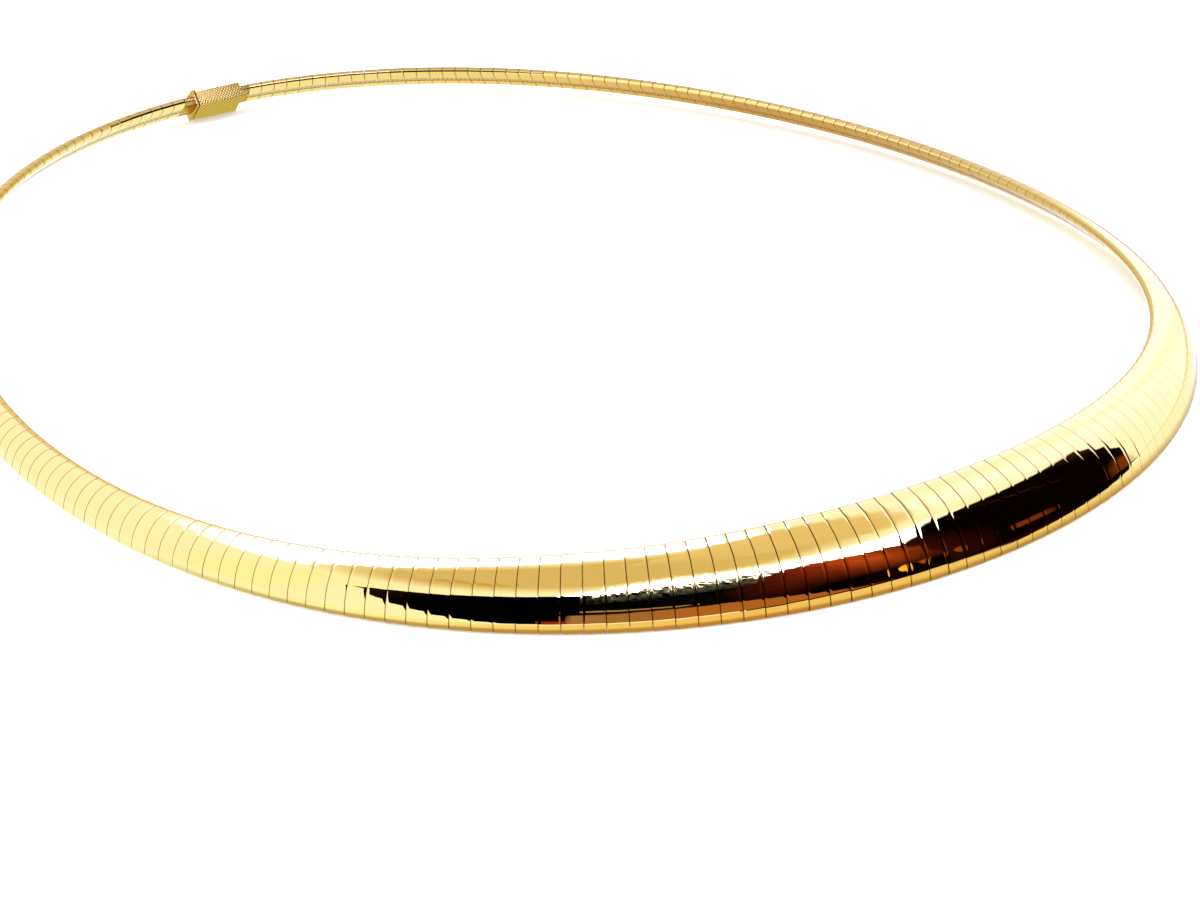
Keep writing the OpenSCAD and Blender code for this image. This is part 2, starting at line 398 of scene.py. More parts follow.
def engravedGold(name):
    material, tree, shader = newMaterial(name)
    shader.inputs["Metallic"].default_value = 1
    shader.inputs["Roughness"].default_value = engraving["roughness"]
    shader.inputs["Specular Tint"].default_value = engraving["edgeColour"]
    place = addNode(tree, "ShaderNodeTexCoord")
    scale = waveSpacing / (engraving["pitch"] * mm)
    lines = []
    for turn in (math.pi / 4, -math.pi / 4):
        turned = addNode(tree, "ShaderNodeMapping", {
            "Vector": place.outputs["Object"], "Rotation": (0, turn, 0),
        })
        lines.append(addNode(tree, "ShaderNodeTexWave", {
            "Vector": turned.outputs[0], "Scale": scale, "Distortion": 0.0,
        }, bands_direction="X"))
    lattice = addNode(tree, "ShaderNodeMath", {
        0: lines[0].outputs["Fac"], 1: lines[1].outputs["Fac"],
    }, operation="MULTIPLY")
    # painted shade: the lattice's hollows take the darker colour
    tone = addNode(tree, "ShaderNodeMix", {
        "Factor": lattice.outputs[0], 6: engraving["hollowShadeColour"], 7: engraving["colour"],
    }, data_type="RGBA")
    tree.links.new(tone.outputs[2], shader.inputs["Base Color"])
    bump = addNode(tree, "ShaderNodeBump", {
        "Height": lattice.outputs[0], "Distance": engraving["depth"],
    })
    tree.links.new(bump.outputs["Normal"], shader.inputs["Normal"])
    return material


plateGold = polishedGold("plateGold")
claspGold = engravedGold("claspGold")
random = np.random.default_rng(plates["seed"])
rightPlates = makePlates("platesRight", 0, plates["aSide"], plateGold, random)
leftPlates = makePlates("platesLeft", -plates["aSide"], 0, plateGold, random)
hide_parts("plates_right")
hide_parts("plates_left")
print("plates made:", 2 * plates["aSide"])

# Woven core: a strap that fills the band between the lips, woven as a tight herringbone of fine wires.
core = {
    "top": 0.14,                     # height of its upper face over the band's middle
    "floor": -0.2,                   # height of its lower face above the lips
    "padFloor": -0.43,               # and between them
    "padColumns": 9,                 # points across the pad between the lips
    "clearance": 0.1,                # between its edges and the rolled edges
    "padClearance": 0.04,            # between its pad and the lips
    "ribPitch": 0.62,
    "ribSlope": 0.9,
    "ribDepth": 0.09,
    "stepsPerRib": 5,
    "wiresPerRib": 4,
    "colour": (0.95, 0.64, 0.2, 1),
    # painted shade in the grooves between the wires
    "grooveShadeColour": (0.3, 0.15, 0.03, 1),
    "grooveShadeSharpness": 2.5,
    "roughness": 0.3,
    "wireHeight": 0.00003,
}


# The strap's section has its corners at the lips and beside the rolled edges, and the pad between the lips
# swells by ribDepth |sin(pi (s - ribSlope |x|) / ribPitch)|. The attribute groove is 1 - |sin| of the same
# phase, and the attribute wire is s - ribSlope |x| in millimetres.
def makeCore(material):
    edge = plateRun + plates["gap"] / 2
    rows = int(2 * edge / core["ribPitch"] * core["stepsPerRib"])
    s = np.linspace(-edge, edge, rows)
    across, face, along = (axis[:, None] for axis in bandAxes(routeOutward(s)))
    centre = np.concatenate([routePoint(s), bandRise(s)[:, None]], 1)[:, None]
    c = halfSpan(s)[:, None]
    window = c - np.minimum(plates["lipReach"], plates["lipShare"] * c) - core["padClearance"]
    reach = c - core["clearance"]
    columns = core["padColumns"]
    x = np.concatenate([
        -reach, -window, window * np.linspace(-1, 1, columns), window, reach, reach, -reach,
    ], 1)
    floor, pad, top = core["floor"], core["padFloor"], core["top"]
    h = np.array([floor, floor, *[pad] * columns, floor, floor, top, top]) + 0 * x
    wire = s[:, None] - core["ribSlope"] * np.abs(x)
    swell = np.abs(np.sin(math.pi * wire / core["ribPitch"]))
    number = np.arange(x.shape[1])
    isPad = (number >= 2) & (number < 2 + columns)  # the pad comes after the section's first two points
    h -= core["ribDepth"] * (swell - 0.5) * isPad
    ring = centre + x[..., None] * across + h[..., None] * face
    ring[..., 1] += shiftY
    size = ring.shape[1]
    k = np.arange(rows - 1)[:, None] * size
    m = np.arange(size)[None]
    n = (m + 1) % size
    quads = np.stack([k + m, k + n, k + size + n, k + size + m], -1).reshape(-1, 4).tolist()
    ends = [list(range(size))[::-1], [(rows - 1) * size + i for i in range(size)]]
    piece = addPiece("coreBand", ring, quads + ends, material)
    piece.data.shade_smooth()
    addValues(piece.data, "groove", 1 - swell)
    addValues(piece.data, "wire", wire)
    return piece


# Fine wires: the bump is the sine of the attribute wire, and painted shade darkens the gold as groove
# goes up to 1.
def wovenGold():
    material, tree, shader = newMaterial("wovenGold")
    groove = addNode(tree, "ShaderNodeAttribute", attribute_name="groove")
    wire = addNode(tree, "ShaderNodeAttribute", attribute_name="wire")
    # painted shade in the grooves: groove to the power of the sharpness
    depth = addNode(tree, "ShaderNodeMath", {
        0: groove.outputs["Fac"], 1: core["grooveShadeSharpness"],
    }, operation="POWER")
    tone = addNode(tree, "ShaderNodeMix", {
        "Factor": depth.outputs[0], 6: core["colour"], 7: core["grooveShadeColour"],
    }, data_type="RGBA")
    tree.links.new(tone.outputs[2], shader.inputs["Base Color"])
    shader.inputs["Metallic"].default_value = 1
    shader.inputs["Roughness"].default_value = core["roughness"]
    phase = addNode(tree, "ShaderNodeMath", {
        0: wire.outputs["Fac"], 1: 2 * math.pi * core["wiresPerRib"] / core["ribPitch"],
    }, operation="MULTIPLY")
    wires = addNode(tree, "ShaderNodeMath", {0: phase.outputs[0]}, operation="SINE")
    bump = addNode(tree, "ShaderNodeBump", {"Height": wires.outputs[0], "Distance": core["wireHeight"]})
    tree.links.new(bump.outputs["Normal"], shader.inputs["Normal"])
    return material


coreBand = makeCore(wovenGold())
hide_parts("core_band")
print("core woven")

# Clasp: the two soldered pieces with their edges broken by the polishing.
clasp = {
    "edge": 0.11,                    # width of the broken edges
    "edgeSteps": 3,
    "sharp": math.radians(28),       # an edge that turns by more than this is broken
    "mergeWithin": 0.002,
    "flatWithin": math.radians(1),   # faces that turn by less than this become one
}


# A CAD node's own mesh, with its doubles merged, its flat faces joined and its sharp edges bevelled.
def polishedCopy(nodeName, name):
    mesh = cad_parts[nodeName].data.copy()
    mesh.name = name
    shape = bmesh.new()
    shape.from_mesh(mesh)
    bmesh.ops.remove_doubles(shape, verts=shape.verts, dist=clasp["mergeWithin"] * mm)
    bmesh.ops.dissolve_limit(
        shape, angle_limit=clasp["flatWithin"], verts=shape.verts, edges=shape.edges
    )
    bmesh.ops.recalc_face_normals(shape, faces=shape.faces)
    shape.to_mesh(mesh)
    shape.free()
    mesh.materials.clear()
    mesh.materials.append(claspGold)
    mesh.shade_smooth()
    piece = addObject(name, mesh)
    edge = piece.modifiers.new("polishedEdges", "BEVEL")
    edge.width = clasp["edge"] * mm
    edge.segments = clasp["edgeSteps"]
    edge.limit_method = "ANGLE"
    edge.angle_limit = clasp["sharp"]
    edge.harden_normals = True
    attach(piece, "root")
    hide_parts(nodeName)


polishedCopy("clasp_box", "claspBox")
polishedCopy("clasp_tongue", "claspTongue")
print("clasp polished")

# Studio: the white table, the pale room and the cards that only the metal sees.
studio = {
    "tableSize": 4.0,                # from its middle to an edge, in metres like the cards' distances
    "tableColour": (0.92, 0.92, 0.92, 1),
    "roomLight": 2.6,                # what the table gets from all round
    "wallTone": (1.22, 1.46, 2.7, 1),
    "ceilingTone": (0.76, 0.75, 0.72, 1),
    "ceilingFrom": 58,               # degrees up, where the walls' tone starts to turn
    "ceilingTo": 69,                 # and where it is the ceiling's
    "cardDistance": 3.0,
    "cardStep": 0.03,                # how much nearer each next card stands
    "cardColumns": 97,
    "cardRows": 17,
    "lyingHeight": 0.05,             # of the cards that lie on the table, in millimetres
    "leafDetail": 5.0,
    "leafRoughness": 0.62,
    "lampPoints": 13,
    "lampTall": 4,                   # a lamp's height over its width
    "nearTone": (0.52, 0.43, 0.36, 1),  # share of the table's tone that is left close to the front
    "nearRun": 0.007,                # how far from the metal that shade reaches
    "nearFrom": -0.4,                # cosine of the azimuth where that shade starts
    "nearTo": -0.75,                 # and where it is full
    # the table's tone in the metal, by azimuth from +Y
    "tableTones": [
        (-180, (0.95, 0.9, 0.78)), (-165, (0.98, 0.84, 0.6)), (-150, (0.98, 0.96, 0.84)),
        (-135, (1.1, 1.42, 2.0)), (-120, (1.12, 1.48, 2.6)), (-100, (1.15, 1.5, 3.2)),
        (-45, (1.15, 1.5, 3.0)), (-15, (1.06, 1.4, 2.4)), (0, (1.02, 1.3, 2.0)),
        (15, (0.98, 1.18, 1.7)), (30, (0.95, 1.04, 1.3)), (45, (0.78, 0.76, 0.8)),
        (60, (0.62, 0.55, 0.5)), (75, (0.62, 0.56, 0.52)), (90, (0.67, 0.64, 0.68)),
        (105, (0.78, 0.84, 1.1)), (122, (1.12, 1.48, 3.0)), (140, (1.15, 1.52, 3.4)),
        (155, (1.08, 1.46, 2.9)), (165, (0.98, 1.0, 1.1)), (180, (0.95, 0.9, 0.78)),
    ],
}


# A soft step of a value from 0 to 1 between two limits, as a node.
def softStep(tree, value, start, end):
    return addNode(tree, "ShaderNodeMapRange", {
        "Value": value, "From Min": float(start), "From Max": float(end),
    }, interpolation_type="SMOOTHSTEP").outputs["Result"]


# The product of two values, as a node.
def times(tree, a, b):
    return addNode(tree, "ShaderNodeMath", {0: a, 1: b}, operation="MULTIPLY").outputs[0]


# Stops of a colour ramp from (value, tone) pairs, each at its value's share of their whole span.
def fillRamp(ramp, tones):
    start, end = tones[0][0], tones[-1][0]
    stops = ramp.elements
    for index, (value, tone) in enumerate(tones):
        position = (value - start) / (end - start)
        if 0 < index < len(tones) - 1:
            stop = stops.new(position)
        else:
            stop = stops[0 if index == 0 else len(stops) - 1]
            stop.position = position
        stop.color = (*tone, 1)


# The table is white paper. Seen in the metal it is glowing far away and shaded close by at the front.
def whiteTable():
    half = studio["tableSize"]
    corners = [(-half, -half, 0), (half, -half, 0), (half, half, 0), (-half, half, 0)]
    mesh = bpy.data.meshes.new("table")
    mesh.from_pydata(corners, [], [(0, 1, 2, 3)])
    material, tree, shader = newMaterial("whiteTable")
    shader.inputs["Base Color"].default_value = studio["tableColour"]
    shader.inputs["Roughness"].default_value = 1
    shader.inputs["Specular IOR Level"].default_value = 0
    ray = addNode(tree, "ShaderNodeLightPath")
    place = addNode(tree, "ShaderNodeTexCoord")
    parts = addNode(tree, "ShaderNodeSeparateXYZ", {0: place.outputs["Object"]})
    azimuth = addNode(tree, "ShaderNodeMath", {
        0: parts.outputs["X"], 1: parts.outputs["Y"],
    }, operation="ARCTAN2")
    share = addNode(tree, "ShaderNodeMapRange", {
        "Value": azimuth.outputs[0], "From Min": -math.pi, "From Max": math.pi,
    })
    tones = addNode(tree, "ShaderNodeValToRGB", {"Fac": share.outputs["Result"]})
    fillRamp(tones.color_ramp, studio["tableTones"])
    frontness = addNode(tree, "ShaderNodeMath", {0: azimuth.outputs[0]}, operation="COSINE")
    front = softStep(tree, frontness.outputs[0], studio["nearTo"], studio["nearFrom"])
    length = softStep(tree, ray.outputs["Ray Length"], 0, studio["nearRun"])
    clear = addNode(tree, "ShaderNodeMath", {0: front, 1: length}, operation="MAXIMUM")
    shade = addNode(tree, "ShaderNodeMix", {
        "Factor": clear.outputs[0], 6: studio["nearTone"], 7: (1, 1, 1, 1),
    }, data_type="RGBA")
    tone = addNode(tree, "ShaderNodeMix", {
        "Factor": 1.0, 6: tones.outputs["Color"], 7: shade.outputs[2],
    }, data_type="RGBA", blend_type="MULTIPLY")
    glow = addNode(tree, "ShaderNodeEmission", {"Color": tone.outputs[2]})
    both = addNode(tree, "ShaderNodeMixShader", {
        0: ray.outputs["Is Glossy Ray"], 1: shader.outputs[0], 2: glow.outputs[0],
    })
    tree.links.new(both.outputs[0], tree.nodes["Material Output"].inputs["Surface"])
    mesh.materials.append(material)
    table = addObject("table", mesh)


# The room: even and white for the table, and for the metal pale walls under a duller ceiling.
def paleRoom():
    world = bpy.data.worlds.new("room")
    scene.world = world
    world.use_nodes = True
    world.cycles.sampling_method = "NONE"
    tree = world.node_tree
    tree.nodes.clear()
    place = addNode(tree, "ShaderNodeTexCoord")
    parts = addNode(tree, "ShaderNodeSeparateXYZ", {0: place.outputs["Generated"]})
    ramp = addNode(tree, "ShaderNodeValToRGB", {"Fac": parts.outputs["Z"]})
    wall, ceiling = ramp.color_ramp.elements
    wall.position = math.sin(math.radians(studio["ceilingFrom"]))
    wall.color = studio["wallTone"]
    ceiling.position = math.sin(math.radians(studio["ceilingTo"]))
    ceiling.color = studio["ceilingTone"]
    ray = addNode(tree, "ShaderNodeLightPath")
    seen = addNode(tree, "ShaderNodeBackground", {"Color": ramp.outputs["Color"]})
    even = addNode(tree, "ShaderNodeBackground", {
        "Color": (1, 1, 1, 1), "Strength": studio["roomLight"],
    })
    both = addNode(tree, "ShaderNodeMixShader", {
        0: ray.outputs["Is Glossy Ray"], 1: even.outputs[0], 2: seen.outputs[0],
    })
    addNode(tree, "ShaderNodeOutputWorld", {"Surface": both.outputs[0]})


whiteTable()
paleRoom()

# Cards round the table, which only the metal sees. Each next one stands cardStep nearer than the one
# before, and one with a distance of its own stands there. Azimuth runs from +Y toward +X, so the front is
# at 180, and elevation goes up, both in degrees. For each card:
# - top and bottom are its edges, as (azimuth, elevation). On a lying card they are (azimuth, millimetres).
# - tones are its colours, as (azimuth, colour).
# - softTop, softBottom and softEnds are the widths over which its edges fade out.
# - left is the share of its light that is left low down, and fade is the two depths under its top between
#   which the light falls to that.
# - ragged is how far leafy noise moves its top, grain is the noise's fineness along and up, and speckle is
#   how much the noise mottles the light of a card that has left.
cards = [
    {
        "name": "trayShade", "lying": True,
        "top": [(109, 3000), (176, 3000)],
        "bottom": [
            (109, 1500), (112, 800), (118, 330), (126, 175), (135, 135), (140, 119), (145, 107),
            (150, 97), (155, 89), (160, 85), (176, 84),
        ],
        "tones": [(109, (0, 0, 0)), (160, (0.004, 0, 0)), (176, (0.02, 0.004, 0))],
        "softTop": 9, "softBottom": 1.5, "softEnds": 3,
    },
    {
        "name": "paleBack",
        "top": [(-62, 44), (38, 44)],
        "bottom": [(-62, -1), (38, -1)],
        "tones": [(-62, (1.3, 1.45, 2.6)), (0, (1.32, 1.45, 3.0)), (38, (1.4, 1.55, 4.2))],
        "softTop": 12, "softBottom": 1, "softEnds": 14,
    },
    {
        "name": "paleLeft",
        "top": [(262, 60), (304, 60)],
        "bottom": [(262, -1), (304, -1)],
        "tones": [(262, (1.2, 1.44, 2.15)), (304, (1.2, 1.44, 2.15))],
        "softTop": 6, "softBottom": 1, "softEnds": 16,
    },
    {
        "name": "paleRight",
        "top": [(30, 59), (60, 59.5), (118, 59.5)],
        "bottom": [(30, -1), (118, -1)],
        "tones": [
            (30, (1.15, 1.5, 3.3)), (54, (1.15, 1.5, 3.3)), (64, (1.3, 1.6, 3.6)),
            (75, (1.42, 1.62, 4.5)), (118, (1.3, 1.5, 2.7)),
        ],
        "softTop": 1.5, "softBottom": 1, "softEnds": 8,
    },
    {
        "name": "paleLow",
        "top": [(30, 40), (66, 40)],
        "bottom": [(30, -1), (66, -1)],
        "tones": [(30, (1.4, 1.7, 5)), (66, (1.4, 1.7, 5))],
        "softTop": 9, "softBottom": 1, "softEnds": 6,
    },
    {
        "name": "duskBack",
        "top": [(4, 30), (14, 32), (36, 33), (44, 30)],
        "bottom": [(4, -1), (44, -1)],
        "tones": [(4, (0.62, 0.6, 0.9)), (44, (0.5, 0.48, 0.66))],
        "softTop": 3, "softBottom": 1, "softEnds": 8,
    },
    {
        "name": "glowFloor", "lying": True,
        "top": [(40, 3000), (108, 3000)],
        "bottom": [(40, 120), (108, 120)],
        "tones": [(40, (1.1, 1.42, 2.6)), (108, (1.1, 1.42, 2.6))],
        "softTop": 9, "softBottom": 60, "softEnds": 6,
    },
    {
        "name": "whiteBack",
        "top": [
            (-48, 60), (-20, 64), (-6, 65), (6, 63.5), (14, 61), (28, 59.5), (36, 63), (42, 59),
            (46, 55),
        ],
        "bottom": [(-48, 56), (-20, 47), (5, 40), (20, 32), (35, 32), (41, 43), (46, 54)],
        "tones": [(-48, (3, 3.6, 10)), (0, (4.5, 6.5, 24)), (46, (4.5, 6.5, 24))],
        "softTop": 2.5, "softBottom": 3, "softEnds": 1.5,
        "left": 0.29, "fade": (11, 15),
    },
    {
        "name": "ceilingRight",
        "top": [(42, 84), (125, 84)],
        "bottom": [(42, 46), (52, 50), (62, 53.5), (70, 55), (78, 58), (125, 58)],
        "tones": [(42, (0.92, 0.94, 1.05)), (60, (0.87, 0.86, 0.9)), (125, (0.84, 0.83, 0.82))],
        "softTop": 10, "softBottom": 5, "softEnds": 4,
    },
    {
        "name": "beam",
        "top": [(240, 72), (262, 74.5), (302, 75.5)],
        "bottom": [(240, 66), (262, 69), (302, 70)],
        "tones": [(240, (0.62, 0.52, 0.38)), (302, (0.66, 0.6, 0.5))],
        "softTop": 2.2, "softBottom": 2.2, "softEnds": 14,
    },
    {
        "name": "window",
        "top": [
            (116, 52.5), (126, 53), (136, 53.5), (150, 56.5), (162, 58.5), (172, 61), (186, 63.5),
            (200, 62), (210, 59), (217, 54.5), (223, 51.5),
        ],
        "bottom": [(116, 51), (133, 48), (150, 34), (165, 44), (210, 46), (223, 50)],
        "tones": [(116, (2, 2, 3)), (130, (6, 8, 24)), (223, (6, 8, 24))],
        "softTop": 1.6, "softBottom": 1, "softEnds": 2,
        "ragged": 11, "grain": (1.5, 0.22),
    },
    {
        "name": "froth",
        "top": [
            (138, 53.5), (150, 56.5), (162, 58.5), (172, 62), (182, 65.5), (192, 65.5), (205, 62),
            (214, 57),
        ],
        "bottom": [(138, 50), (214, 50)],
        "tones": [(138, (3, 4, 10)), (214, (4, 5, 14))],
        "softTop": 2.5, "softBottom": 1, "softEnds": 6,
        "ragged": 24, "grain": (4.5, 0.7),
    },
    {
        "name": "blackFlag",
        "top": [
            (213, 50), (222, 51.5), (240, 50.5), (246, 49.5), (252, 48.8), (258, 48), (263, 46.5),
            (268, 44.5),
        ],
        "bottom": [
            (213, 1), (222, 1), (228, 0.8), (234, 2.5), (238, 5), (242, 9.5), (246, 15), (250, 20),
            (254, 26), (258, 33), (263, 41), (268, 44.2),
        ],
        "tones": [(213, (0, 0, 0)), (250, (0, 0, 0)), (268, (0.02, 0.012, 0))],
        "softTop": 0.7, "softBottom": 0.5, "softEnds": 0.5,
    },
    {
        "name": "hedge",
        "top": [
            (156, 43.5), (165, 47), (172, 50.5), (182, 53.5), (192, 55), (202, 53.5), (210, 51),
            (216, 49.5),
        ],
        "bottom": [(156, 14), (216, 14)],
        "tones": [
            (156, (0.16, 0.045, 0.025)), (168, (0.13, 0.05, 0.045)), (176, (0.12, 0.1, 0.12)),
            (184, (0.15, 0.22, 0.3)), (192, (0.19, 0.27, 0.6)), (202, (0.15, 0.2, 0.4)),
            (216, (0.01, 0.01, 0.016)),
        ],
        "softTop": 1.2, "softBottom": 1, "softEnds": 1,
        "left": 0.01, "fade": (2, 17),
        "ragged": 26, "grain": (0.9, 0.16), "speckle": 4.5,
    },
    {
        "name": "redWall",
        "top": [(147, 39.5), (155, 46), (165, 50.5), (174, 49), (180, 42), (190, 34)],
        "bottom": [(147, -1), (190, -1)],
        "tones": [
            (147, (0.06, 0.012, 0.006)), (154, (0.25, 0.05, 0.02)), (158, (0.52, 0.1, 0.035)),
            (163, (0.46, 0.08, 0.03)), (168, (0.2, 0.03, 0.015)), (176, (0.1, 0.014, 0.008)),
            (184, (0.03, 0.006, 0.004)), (190, (0.01, 0.003, 0.002)),
        ],
        "softTop": 2, "softBottom": 1, "softEnds": 3,
        "left": 0.01, "fade": (13, 34),
        "ragged": 5, "grain": (0.9, 0.14), "speckle": 0.5,
    },
    {
        "name": "shelf",
        "top": [
            (163, 1.9), (168, 3.2), (172, 5.5), (176, 9), (183, 14), (190, 17), (202, 18),
            (217.4, 16.5),
        ],
        "bottom": [(163, 1.2), (217.4, 1.2)],
        "tones": [
            (163, (0.25, 0.07, 0.03)), (172, (0.42, 0.17, 0.07)), (196, (0.46, 0.2, 0.08)),
            (205, (0.38, 0.22, 0.17)), (217.4, (0.4, 0.26, 0.2)),
        ],
        "softTop": 0.8, "softBottom": 0.5, "softEnds": 0.8,
    },
    {
        "name": "redStrip",
        "top": [(217, 6), (222.5, 7.5)],
        "bottom": [(217, 1.5), (222.5, 1.5)],
        "tones": [(217, (0.4, 0.06, 0.02)), (222.5, (0.26, 0.03, 0.01))],
        "softTop": 0.8, "softBottom": 0.5, "softEnds": 0.4,
    },
    {
        "name": "shelfGap",
        "top": [(197, 19.5), (216, 20)],
        "bottom": [(197, 17), (216, 15.8)],
        "tones": [(197, (0.04, 0.014, 0.01)), (216, (0.01, 0.004, 0.003))],
        "softTop": 0.5, "softBottom": 0.5, "softEnds": 0.5,
    },
    {
        "name": "shelfRim",
        "top": [(196, 22), (216, 23.6)],
        "bottom": [(196, 19.6), (216, 20.6)],
        "tones": [(196, (0.4, 0.26, 0.2)), (216, (0.52, 0.4, 0.4))],
        "softTop": 0.8, "softBottom": 0.8, "softEnds": 1,
    },
    {
        "name": "darkWall",
        "top": [
            (92, 40.5), (100, 44), (108, 48), (115, 51), (122, 53), (128, 53), (135, 50.5), (140, 48),
            (146, 44), (152, 39),
        ],
        "bottom": [(92, 40), (97, 36), (101, 31), (105, 22), (108, 12), (109, 0), (110, -1), (152, -1)],
        "tones": [
            (92, (0.05, 0.025, 0.01)), (104, (0.003, 0.001, 0)), (140, (0.002, 0.001, 0)),
            (152, (0.03, 0.006, 0.004)),
        ],
        "softTop": 2.4, "softBottom": 1, "softEnds": 1.5,
    },
    {
        "name": "duskScreen", "distance": 0.11,
        "top": [(-28, 46), (0, 52), (40, 50), (60, 45), (72, 32), (86, 24)],
        "bottom": [(-28, -1), (86, -1)],
        "tones": [
            (-28, (1.0, 1.1, 1.5)), (0, (0.74, 0.74, 0.95)), (20, (0.62, 0.6, 0.78)),
            (45, (0.74, 0.8, 1.2)), (66, (0.8, 0.88, 1.35)), (76, (0.95, 1.08, 1.8)),
            (86, (1.1, 1.35, 2.4)),
        ],
        "softTop": 9, "softBottom": 1, "softEnds": 9,
    },
    {
        "name": "doorway",
        "top": [(107, 12), (111, 17), (116, 8)],
        "bottom": [(107, -1), (116, -1)],
        "tones": [(107, (0.26, 0.09, 0.02)), (111, (0.2, 0.05, 0.01)), (116, (0.08, 0.015, 0.005))],
        "softTop": 7, "softBottom": 0.5, "softEnds": 2.5,
    },
    {
        "name": "redLamp",
        "top": [(129, 11), (139, 14)],
        "bottom": [(129, 4), (139, 7)],
        "tones": [(129, (0.16, 0.035, 0.02)), (139, (0.24, 0.05, 0.03))],
        "softTop": 2, "softBottom": 2, "softEnds": 2,
    },
    {
        "name": "wallRail",
        "top": [(116.6, 30), (118, 40), (121.4, 51)],
        "bottom": [(116.6, 26), (118, 34), (121.4, 46)],
        "tones": [(116.6, (0.05, 0.016, 0.006)), (121.4, (0.05, 0.016, 0.006))],
        "softTop": 2, "softBottom": 2, "softEnds": 0.4,
    },
]
# Lamps are oval cards, as (azimuth, elevation, half width, colour).
lamps = [
    (159.5, 9.8, 1.5, (1.15, 0.8, 0.2)),
    (156.2, 11.5, 0.9, (0.42, 0.1, 0.04)),
    (154.2, 13, 0.8, (0.38, 0.08, 0.03)),
    (149.2, 10.5, 1.2, (0.32, 0.065, 0.025)),
]
rim = np.linspace(-1, 1, studio["lampPoints"])
for index, (azimuth, elevation, radius, tone) in enumerate(lamps):
    tall = studio["lampTall"] * radius * np.sqrt(1 - rim**2)
    cards.append({
        "name": f"lamp{index}",
        "top": np.stack([azimuth + radius * rim, elevation + tall], 1),
        "bottom": np.stack([azimuth + radius * rim, elevation - tall], 1),
        "tones": [(azimuth - radius, tone), (azimuth + radius, tone)],
        "softTop": 2, "softBottom": 2, "softEnds": 0.3,
    })


# Light of a card: its tones along the azimuth, dimmed below by left, and cut out by its soft edges. The
# depth under the top is fromTop + ragged (1 - 2 noise).
def cardMaterial(card):
    material = bpy.data.materials.new(card["name"])
    material.use_nodes = True
    tree = material.node_tree
    tree.nodes.clear()
    place = addNode(tree, "ShaderNodeUVMap", uv_map="card")
    parts = addNode(tree, "ShaderNodeSeparateXYZ", {0: place.outputs[0]})
    fromTop, fromBottom, fromEnds = (
        addNode(tree, "ShaderNodeAttribute", attribute_name=name).outputs["Fac"]
        for name in ("fromTop", "fromBottom", "fromEnds")
    )
    grainX, grainY = card.get("grain", (1, 1))
    stretched = addNode(tree, "ShaderNodeVectorMath", {
        0: place.outputs[0], 1: (grainX, grainY, 1),
    }, operation="MULTIPLY")
    leaves = addNode(tree, "ShaderNodeTexNoise", {
        "Vector": stretched.outputs[0], "Scale": 1.0,
        "Detail": studio["leafDetail"], "Roughness": studio["leafRoughness"],
    })
    ragged = float(card.get("ragged", 0))
    lowered = addNode(tree, "ShaderNodeMath", {
        0: leaves.outputs["Fac"], 1: -2 * ragged, 2: ragged,
    }, operation="MULTIPLY_ADD")
    depth = addNode(tree, "ShaderNodeMath", {0: fromTop, 1: lowered.outputs[0]}, operation="ADD")
    edges = times(
        tree,
        softStep(tree, depth.outputs[0], 0, card["softTop"]),
        softStep(tree, fromBottom, 0, card["softBottom"]),
    )
    edges = times(tree, edges, softStep(tree, fromEnds, 0, card["softEnds"]))
    start, end = card["tones"][0][0], card["tones"][-1][0]
    share = addNode(tree, "ShaderNodeMapRange", {
        "Value": parts.outputs["X"], "From Min": float(start), "From Max": float(end),
    })
    ramp = addNode(tree, "ShaderNodeValToRGB", {"Fac": share.outputs["Result"]})
    fillRamp(ramp.color_ramp, card["tones"])
    strength = 1.0
    if "left" in card:
        fadeStart, fadeEnd = card["fade"]
        fade = addNode(tree, "ShaderNodeMapRange", {
            "Value": fromTop, "From Min": float(fadeStart), "From Max": float(fadeEnd),
            "To Min": 1.0, "To Max": card["left"],
        })
        speckle = float(card.get("speckle", 0))
        mottled = addNode(tree, "ShaderNodeMath", {
            0: leaves.outputs["Fac"], 1: 2 * speckle, 2: 1 - speckle,
        }, operation="MULTIPLY_ADD")
        strength = times(tree, fade.outputs["Result"], mottled.outputs[0])
    glow = addNode(tree, "ShaderNodeEmission", {
        "Color": ramp.outputs["Color"], "Strength": strength,
    })
    clear = addNode(tree, "ShaderNodeBsdfTransparent")
    both = addNode(tree, "ShaderNodeMixShader", {0: edges, 1: clear.outputs[0], 2: glow.outputs[0]})
    addNode(tree, "ShaderNodeOutputMaterial", {"Surface": both.outputs[0]})
    return material


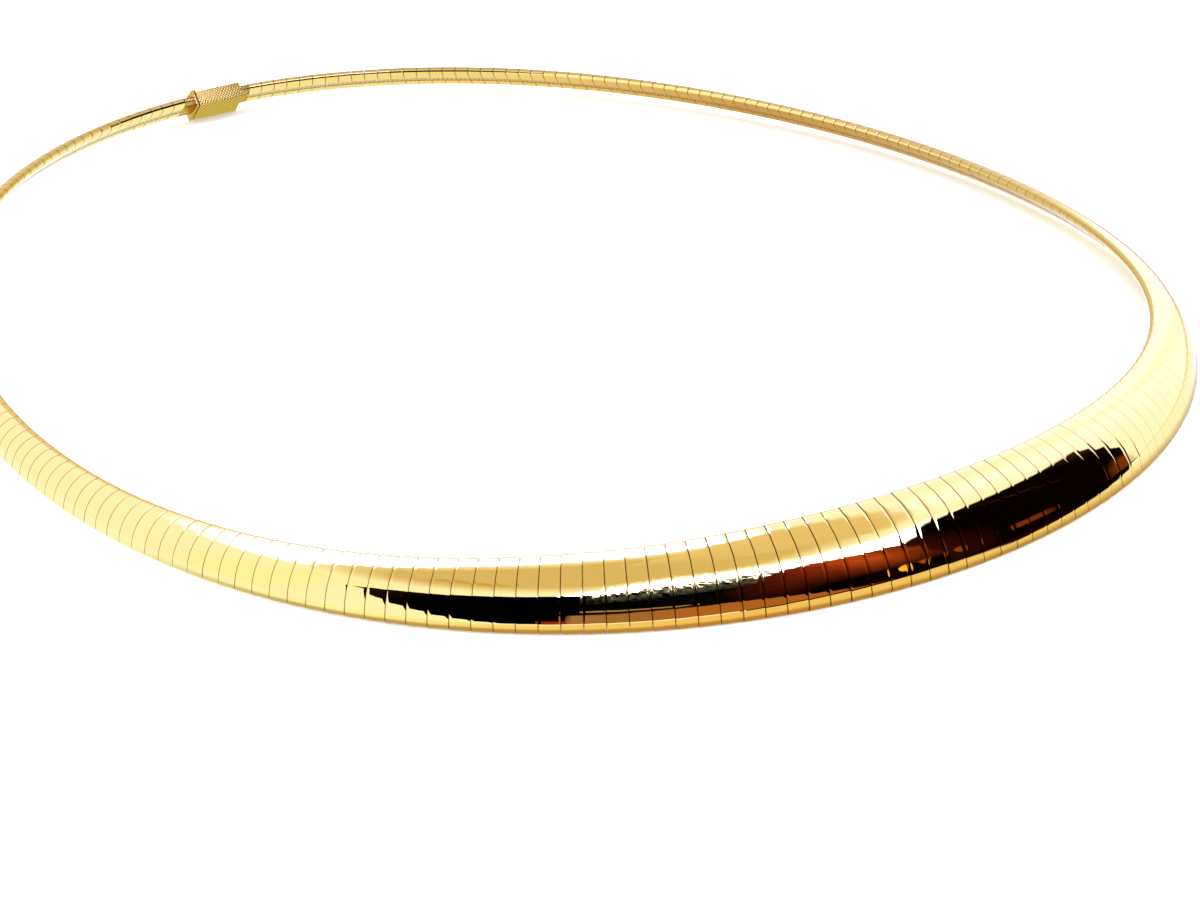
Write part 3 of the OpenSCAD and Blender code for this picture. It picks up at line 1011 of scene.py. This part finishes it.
# A patch of a sphere, or of the table: azimuth runs evenly along it, and elevation from its lower edge to
# its upper edge plus ragged. A point is distance (sin a cos e, cos a cos e, sin e). On a lying card the
# elevation stands for the distance.
def addCard(card, layer):
    top, bottom = np.array(card["top"], float), np.array(card["bottom"], float)
    start, end = top[0, 0], top[-1, 0]
    azimuth = np.linspace(start, end, studio["cardColumns"])[:, None]
    high = np.interp(azimuth, top[:, 0], top[:, 1])
    low = np.interp(azimuth, bottom[:, 0], bottom[:, 1])
    elevation = low + (high + card.get("ragged", 0) - low) * np.linspace(0, 1, studio["cardRows"])
    azimuth = azimuth + 0 * elevation
    a, e = np.radians(azimuth), np.radians(elevation)
    distance = card.get("distance", studio["cardDistance"] - studio["cardStep"] * layer)
    points = distance * np.stack([np.sin(a) * np.cos(e), np.cos(a) * np.cos(e), np.sin(e)], -1)
    if card.get("lying"):
        height = studio["lyingHeight"] + 0 * a
        points = np.stack([np.sin(a) * elevation, np.cos(a) * elevation, height], -1) * mm
    rows, columns = elevation.shape
    k = np.arange(rows - 1)[:, None] * columns + np.arange(columns - 1)
    quads = np.stack([k, k + 1, k + columns + 1, k + columns], -1).reshape(-1, 4)
    mesh = bpy.data.meshes.new(card["name"])
    mesh.from_pydata(points.reshape(-1, 3), [], quads.tolist())
    addValues(mesh, "fromTop", high - elevation)
    addValues(mesh, "fromBottom", elevation - low)
    addValues(mesh, "fromEnds", np.minimum(azimuth - start, end - azimuth))
    flat = np.stack([azimuth, elevation], -1).reshape(-1, 2)
    mesh.uv_layers.new(name="card").data.foreach_set("uv", flat[cornerPoints(mesh)].ravel())
    mesh.materials.append(cardMaterial(card))
    piece = addObject(card["name"], mesh)
    for ray in ("camera", "diffuse", "shadow", "transmission", "volume_scatter"):
        setattr(piece, "visible_" + ray, False)


for layer, card in enumerate(cards):
    addCard(card, layer)
print("studio lit:", len(cards), "cards")

# Camera: a 75 mm lens a little above the table, looking across the collar's front from its left.
view = {
    "lens": 75,
    "sensor": 36,
    "nearest": 0.01,
    "farthest": 20,
    "place": Vector((-125.5, -221.9, 103.9)) * mm,
    "azimuth": math.radians(31.5),
    "down": math.radians(25.96),
    "roll": math.radians(-2.79),
}


# The camera looks along its azimuth and down, and its right and up are then turned by the roll.
def makeCamera():
    camera = addObject("camera", bpy.data.cameras.new("camera"))
    camera.data.lens = view["lens"]
    camera.data.sensor_width = view["sensor"]
    camera.data.clip_start = view["nearest"]
    camera.data.clip_end = view["farthest"]
    az, down, roll = view["azimuth"], view["down"], view["roll"]
    forward = Vector((math.sin(az) * math.cos(down), math.cos(az) * math.cos(down), -math.sin(down)))
    right = Vector((math.cos(az), -math.sin(az), 0))
    up = right.cross(forward)
    right, up = (
        right * math.cos(roll) + up * math.sin(roll),
        up * math.cos(roll) - right * math.sin(roll),
    )
    turn = Matrix((right, up, -forward)).transposed().to_4x4()
    camera.matrix_world = Matrix.Translation(view["place"]) @ turn
    scene.camera = camera


makeCamera()
scene.view_settings.view_transform = "Standard"
